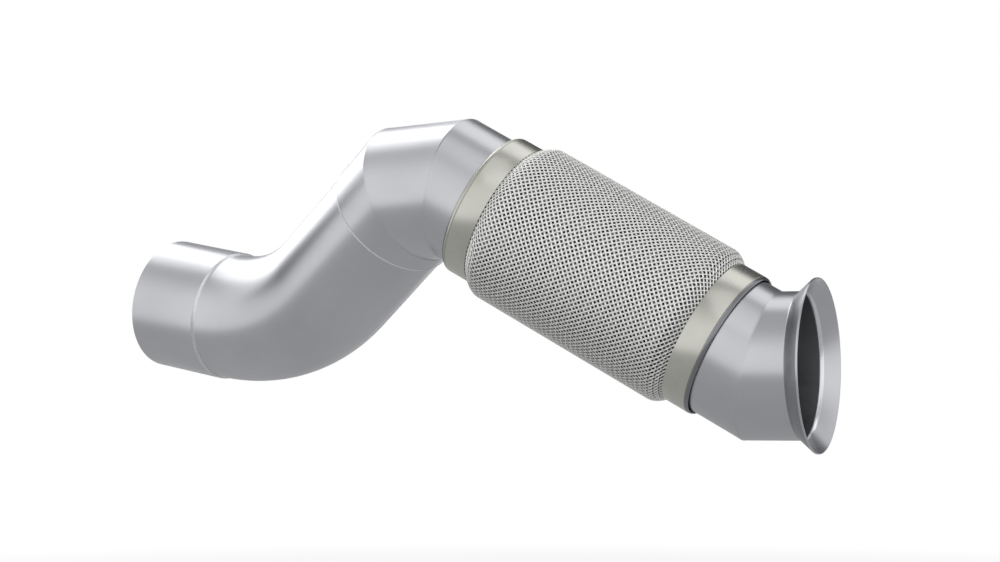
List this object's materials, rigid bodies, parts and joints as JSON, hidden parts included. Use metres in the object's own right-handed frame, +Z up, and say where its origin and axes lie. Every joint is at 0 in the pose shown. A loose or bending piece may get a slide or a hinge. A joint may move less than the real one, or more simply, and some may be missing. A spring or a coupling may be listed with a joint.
{
  "type": "exhaust flex pipe",
  "caption": "Rigid exhaust pipe with a bent inlet tube, a mitred elbow, a wire-braided flex section between end collars, and a flared outlet.",
  "frame": {"origin": "centre of the flared rim, in the plane of its flat land", "axes": "+X out of the outlet along its axis; the flex section's axis lies in the XZ plane; +Z up as the pipe hangs in the picture"},
  "size_m": [0.7017, 0.2665, 0.2974],
  "materials": {
    "tube_steel": "satin",
    "collar_steel": "satin, warm grey",
    "braid_wire": "bright drawn wire",
    "inner_steel": "bright rolled strip",
    "weld_steel": "brushed weld bead"
  },
  "bodies": {
    "root": {"inlet_sleeve": "tube_steel", "bend_tube": "tube_steel", "elbow_lower_leg": "tube_steel", "elbow_gore": "tube_steel", "elbow_upper_leg": "tube_steel", "outlet_leg": "tube_steel", "outlet_flare_tube": "tube_steel", "upper_collar": "collar_steel", "lower_collar": "collar_steel", "braid_sleeve": "braid_wire", "adapter_ring": "inner_steel", "bellows": "inner_steel", "interlock_liner": "inner_steel", "inlet_lap_weld": "weld_steel", "elbow_lap_weld": "weld_steel", "first_mitre_weld": "weld_steel", "second_mitre_weld": "weld_steel", "third_mitre_weld": "weld_steel", "adapter_weld": "weld_steel", "upper_flex_weld": "weld_steel", "lower_flex_weld": "weld_steel"}
  },
  "joints": []
}
